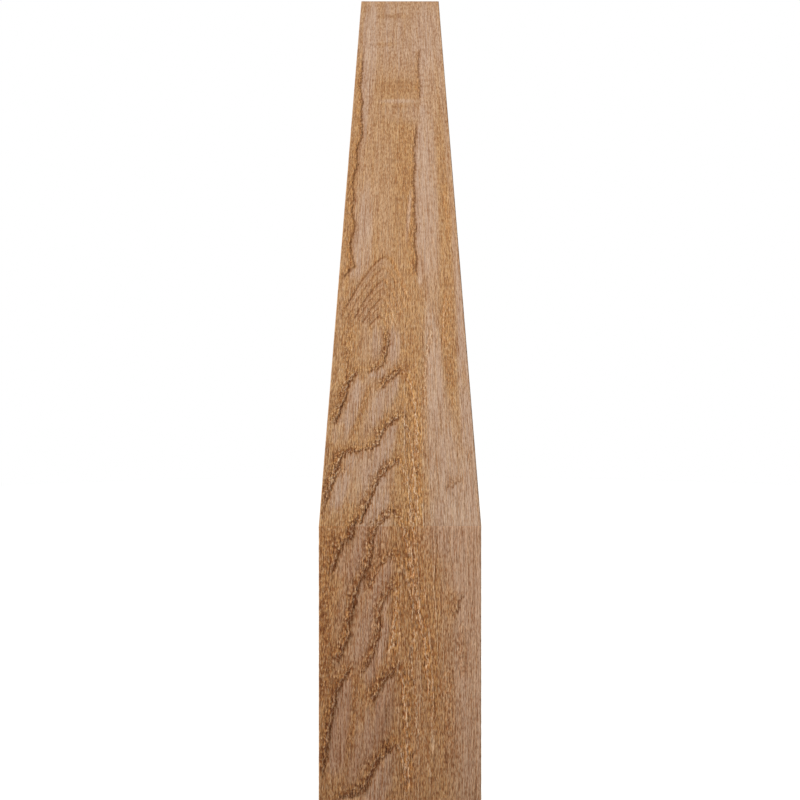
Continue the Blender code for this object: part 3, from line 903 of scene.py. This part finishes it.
class Wood:
    """What the timber's colours are worked out from: the place on the wood in millimetres, what
    the rings do there, and the patterns that run with the grain."""

    def __init__(self, tree):
        self.start = Socket(tree)
        run = self.start.node("ShaderNodeUVMap", {"uv_map": "grain_run"}, {})
        self.across, self.along = (self.part(run, way) / MM for way in "XY")
        self.soft, self.shag, self.seat = self.carried("figure")
        self.ledge, self.tone, self.plain = self.carried("ledges")
        self.pink, self.dark, self.strands = self.carried("patches")
        self.shag = self.shag.maths("MAXIMUM", self.shag, TORN_SHARE * (0 - self.pink).held())
        self.in_shade, self.in_light = (0 - self.tone).held(), self.tone.held()
        high_up = self.along.maths("MAXIMUM", self.along)
        low_down = self.along.maths("MINIMUM", self.along)
        longer = 1 + high_up / STREAK_GROWTH
        self.drawn_out = low_down + STREAK_GROWTH * longer.maths("LOGARITHM", longer, math.e)
        self.distant = self.along.ease(*DISTANT)
        self.fine, self.finer = self.streaks(FINE_STREAK), self.streaks(FINER_STREAK)
        self.specks, self.broad = self.streaks(SPECK), self.streaks(BROAD_STREAK)
        self.crackle = self.streaks(CRACKLE)

    def part(self, whole, way):
        """One part, X, Y or Z, of a vector."""
        return self.start.node("ShaderNodeSeparateXYZ", {}, {0: whole}, result=way)

    def carried(self, name):
        """The three values of an attribute of the mesh."""
        whole = self.start.node("ShaderNodeAttribute", {"attribute_name": name}, {}, result="Vector")
        return [self.part(whole, way) for way in "XYZ"]

    def streaks(self, streak):
        """A pattern's noise, about 0.5 on the whole."""
        place = {"X": self.across / streak.width, "Y": self.drawn_out / streak.length, "Z": streak.seed}
        place = self.start.node("ShaderNodeCombineXYZ", {}, place)
        settings = {"Vector": place, "Scale": 1.0, "Detail": streak.detail}
        return self.start.node("ShaderNodeTexNoise", {}, settings)

    def marks(self, streak):
        """A pattern's marks: 0 where there is none and 1 in the middle of one."""
        return self.streaks(streak).ease(streak.low, streak.high)

    def mixed(self, below, above, share, blend="MIX"):
        """One colour over another, by a share."""
        return self.start.node("ShaderNodeMix", {"data_type": "RGBA", "blend_type": blend},
                               {"Factor": share, "A": below, "B": above}, result="Result")


def bare_wood(wood):
    """Ochre late wood and pinkish early wood, with paler and browner places and brown stains.
    Gives its colour and how pink it is."""
    pinkness = 0.6 * wood.soft.ease(0.12, 0.6) + wood.pink + 0.25 * wood.plain
    pinkness = (pinkness + 1.3 * wood.broad.swing()) * (1 - 0.85 * wood.shag)
    pinkness = (pinkness.held() * (1 - 0.6 * wood.marks(THREAD))).held()
    colour = wood.mixed(OCHRE, TORN, wood.shag)
    colour = wood.mixed(colour, PINK, pinkness)
    darkness = wood.dark + 0.6 * wood.streaks(CLOUD).swing() + 0.4 * wood.broad.swing()
    colour = wood.mixed(colour, BROWN, (darkness * (1 - 0.7 * wood.shag)).held())
    colour = wood.mixed(colour, PALE, (0 - wood.dark).held())
    return wood.mixed(colour, BROWN, 0.5 * wood.marks(STAIN)), pinkness


def crumbled(wood):
    """The gaps round torn crumbs of late wood, darkened as painted shade, and the knobs between the
    gaps, lightened as painted highlight. There are fewer on the ledges that face the light and higher
    up the brace."""
    place = {"X": wood.across / CRUMB_WIDTH + CRUMB_SWAY * wood.crackle.swing(),
             "Y": wood.along / CRUMB_LENGTH + CRUMB_STIR * wood.specks.swing(), "Z": CRUMB_SEED}
    place = wood.start.node("ShaderNodeCombineXYZ", {}, place)
    cells = wood.start.node("ShaderNodeTexVoronoi", {}, {"Vector": place, "Scale": 1.0})
    tattered = (0.6 + 0.8 * wood.marks(TATTER)) * (1 - 0.6 * wood.distant)
    tattered = tattered * (1 - 0.8 * wood.in_light)
    return cells.ease(*CRUMB_LEVELS) * tattered, (1 - cells.ease(*KNOB_LEVELS)) * tattered


def torn_wood(wood, colour, pinkness):
    """Dark pits and pale tips of fibre, and crumbs where the late wood is torn, with painted shade in
    the gaps round them and painted highlight on their knobs. Gives the colour and the height of it
    all, for the bump."""
    harsh = (1 - 0.65 * pinkness) * (0.75 + 0.5 * wood.shag) * (1 + 0.25 * wood.seat)
    harsh = harsh * (1 - 0.3 * wood.distant)
    pits, tips = wood.marks(PIT) * harsh, wood.marks(TIP) * harsh
    crumbs, knobs = crumbled(wood)
    colour = wood.mixed(colour, SHADE, 0.5 * pits)
    colour = wood.mixed(colour, CREAM, 0.32 * tips)
    # Painted shade in the gaps between crumbs, and painted highlight on the knobs
    colour = wood.mixed(colour, SHADOW_BROWN, (0.9 * crumbs * wood.shag).held())
    colour = wood.mixed(colour, CREAM, 0.36 * knobs * wood.shag)
    height = 0.5 * wood.fine + 0.5 * wood.finer + 0.4 * wood.specks - 0.5 * pits + 0.4 * tips
    return colour, height - 0.6 * crumbs * wood.shag


def stranded(wood, colour):
    """Loose strands that wander up the grain, each pale with a dark side, and broken in places."""
    wander = wood.across / STRAND_SPACING + 4.0 * wood.streaks(STRAND_WANDER)
    wander = wander + 0.6 * wood.streaks(STRAND_WAVER)
    ring = wander.maths("FRACT", wander)
    broken = wood.marks(STRAND_BREAK) * (0.2 + 0.8 * wood.strands)
    colour = wood.mixed(colour, CREAM, 0.6 * (ring.band(*PALE_STRAND) * broken))
    return wood.mixed(colour, SHADE, 0.5 * (ring.band(*DARK_STRAND) * broken))


def ledged(wood, colour):
    """A reddish-brown line of painted shade at each ledge's foot, partly the late wood's dark edge, and
    a pale crest with painted highlight.
    """
    ragged = wood.ledge + 3.0 * wood.streaks(FRAY).swing() + 2.0 * wood.specks.swing()
    ragged = ragged * (1 - 0.35 * wood.distant)
    # Painted shade: a wider reddish-brown band below the ledges that face away from the light
    shade_band = (0.15 + 0.3 * wood.distant) * ragged.band(*LEDGE_SHADE_BAND)
    colour = wood.mixed(colour, SHADOW_BROWN, shade_band * wood.in_shade)
    # A narrow line of painted shade at the foot, partly the late wood's dark edge
    foot = ragged.band(*LEDGE_FOOT) * (1 - 0.35 * wood.distant)
    colour = wood.mixed(colour, SHADOW_BROWN, foot * (wood.in_shade + 0.4 * wood.in_light))
    # The crest: pale splinters, and painted highlight where the ledge faces the light
    crest = 0.35 * wood.in_shade + (0.6 + 0.2 * wood.seat) * wood.in_light
    crest = ragged.band(*LEDGE_CREST) * crest * (1 - 1.2 * wood.distant).held()
    return wood.mixed(colour, CREAM, crest)


def streaked(wood, colour, pinkness):
    """Fine light and dark streaks with specks among them, a darker foot to the brace, and painted shade
    on the seat.
    """
    strength = (3.1 - 0.8 * pinkness) * (1 - 0.9 * (0 - wood.dark).held()) * (1 + 0.2 * wood.seat)
    specked = (1.1 + 0.5 * wood.shag - 0.3 * pinkness) * (1 + 0.5 * wood.seat)
    light = 1.15 * wood.fine.swing() + 0.8 * wood.finer.swing() + specked * wood.specks.swing()
    light = light + 0.8 * wood.along.ease(*CRACKLE_RISE) * wood.crackle.swing()
    light = (0.66 + strength * light + 0.3 * wood.broad.swing()).held()
    deep, bright = (wood.mixed(colour, tint, 1.0, "MULTIPLY") for tint in (DEEP, BRIGHT))
    colour = wood.mixed(deep, bright, light)
    up = ((wood.along - FOOT_START) / FOOT_REACH).held()
    colour = wood.mixed(colour, FOOT_TINT, 1 - up.maths("POWER", up, FOOT_CURVE), "MULTIPLY")
    # Painted shade: the seat face, turned from the light, is tinted warmer
    return wood.mixed(colour, SEAT_SHADE_TINT, wood.seat, "MULTIPLY")


def timber_finish():
    """Bare weathered softwood, rough along the grain and with hardly any sheen."""
    material = bpy.data.materials.new("weathered_sawn_timber")
    material.use_nodes = True
    tree = material.node_tree
    wood = Wood(tree)
    colour, pinkness = bare_wood(wood)
    colour, height = torn_wood(wood, colour, pinkness)
    colour = ledged(wood, stranded(wood, colour))
    colour = streaked(wood, colour, pinkness)
    bump = wood.start.node("ShaderNodeBump", {}, {
        "Strength": BUMP_STRENGTH, "Distance": BUMP_DEPTH, "Height": height})
    rough = ROUGHNESS + ROUGHNESS_RISE * wood.finer
    shader = tree.nodes["Principled BSDF"]
    for name, made in (("Base Color", colour), ("Normal", bump), ("Roughness", rough)):
        tree.links.new(made.socket, shader.inputs[name])
    shader.inputs["Specular IOR Level"].default_value = SHEEN
    return material


def read_all(items, name, width=1, kind=float):
    """One property of all of a mesh's points, corners or polygons."""
    values = np.empty(len(items) * width, kind)
    items.foreach_get(name, values)
    return values if width == 1 else values.reshape(-1, width)


def finished_mesh(timber, shown_triangles, finish):
    """Raises the grain, thins out the points on the faces that the photograph doesn't show, and
    returns the result as a plain mesh."""
    grain = timber.modifiers.new("raised_grain", "NODES")
    grain.node_group = raised_grain()
    values = {
        "Ledge drop": LEDGE_DROP * MM, "Fibre height": FIBRE_HEIGHT * MM,
        "Shred height": SHRED_HEIGHT * MM, "Seed": GRAIN_SEED,
        "Fibre size": (*FIBRE_SIZE, 1.0), "Shred size": (*SHRED_SIZE, 1.0), "Finish": finish,
    }
    for item in grain.node_group.interface.items_tree:
        if item.name in values:
            grain[item.identifier] = values[item.name]
    wanted = min(SHOWN_TRIANGLES, shown_triangles)
    have = 2 * len(timber.data.polygons)
    for left, hold in ((shown_triangles + HIDDEN_TRIANGLES, True), (wanted + HIDDEN_TRIANGLES, False)):
        thin = timber.modifiers.new("thinned", "DECIMATE")
        thin.ratio = left / have
        thin.vertex_group = "held"
        thin.invert_vertex_group = hold
        have = left
    shape = timber.evaluated_get(bpy.context.evaluated_depsgraph_get())
    mesh = bpy.data.meshes.new_from_object(shape)
    bpy.data.objects.remove(timber)
    places = np.clip(read_all(mesh.vertices, "co", 3), *cad_box)
    mesh.vertices.foreach_set("co", places.ravel())
    return mesh


# Sets the streaks of the faces out of view apart, in metres
RUN_GAP = 3.0


def patch_marks(across, along):
    """How much pinker and darker the wood is at each place, and how thick with pale strands."""
    marks = np.zeros((len(across), 3))
    for patch in PATCHES:
        middle = patch.across + patch.lean * (along - patch.along)
        far = ((across - middle) / patch.reach_across) ** 2
        far += ((along - patch.along) / patch.reach_along) ** 2
        near = np.exp(-(far**2))
        marks += near[:, None] * np.array((patch.pink, patch.dark, patch.strands))
    return marks


def mesh_corners(mesh):
    """Where each corner of the mesh lies, in millimetres, and which of the FACES it is part of."""
    places = read_all(mesh.vertices, "co", 3)[read_all(mesh.loops, "vertex_index", kind=int)]
    counts = read_all(mesh.polygons, "loop_total", kind=int)
    middles = read_all(mesh.polygons, "center", 3) / MM
    under = np.stack([-(middles - np.array(face.origin)) @ np.array(face.out) for face in FACES], axis=1)
    return places / MM, np.repeat(under.argmin(1), counts)


def lay_figure(mesh):
    """Gives each corner of the finished mesh its place in the grain and what the rings do there:
    figure is soft, shag and seat, ledges is ledge, tone and plain, and patches is as above."""
    at_corner, face_of_corner = mesh_corners(mesh)
    run = np.zeros((len(mesh.loops), 2))
    figure, ledges, patches = (np.zeros((len(mesh.loops), 3)) for _ in range(3))
    for number, face in enumerate(FACES):
        own = np.flatnonzero(face_of_corner == number)
        across, along = on_face(face, at_corner[own])
        moved = splintered(across, along)
        soft, shag, ledge, tone = (face.figure.at(getattr(face.figure, name), *moved)
                                   for name in ("soft", "shag", "ledge", "tone"))
        if not face.shown:
            shag *= HIDDEN_FIBRES
        seat = np.full(len(own), float(face.name == "post_seat"))
        plain = np.full(len(own), float(not face.shown))
        figure[own] = np.stack([soft, shag, seat], axis=1)
        ledges[own] = np.stack([ledge, tone, plain], axis=1)
        if face.shown:
            patches[own] = patch_marks(across, along)
        shift = 0 if face.shown else RUN_GAP * number
        run[own] = np.stack([across * MM + shift, along * MM], axis=1)
    for layer in list(mesh.attributes):
        if layer.name in ("inward", "grain_place", "cut", "shag", "free", "held"):
            mesh.attributes.remove(layer)
    mesh.uv_layers.new(name="grain_run").data.foreach_set("uv", run.ravel())
    for name, values in (("figure", figure), ("ledges", ledges), ("patches", patches)):
        mesh.attributes.new(name, "FLOAT_VECTOR", "CORNER").data.foreach_set("vector", values.ravel())
    mesh.polygons.foreach_set("use_smooth", np.ones(len(mesh.polygons), bool))
    mesh.set_sharp_from_angle(angle=CRISP_ANGLE)
    mesh.update()


timber, shown_triangles = blank()
brace_mesh = finished_mesh(timber, shown_triangles, timber_finish())
brace_mesh.name = "raised_grain_brace"
lay_figure(brace_mesh)
brace = bpy.data.objects.new("raised_grain_brace", brace_mesh)
scene.collection.objects.link(brace)
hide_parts("knee_brace")
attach(brace, "root")
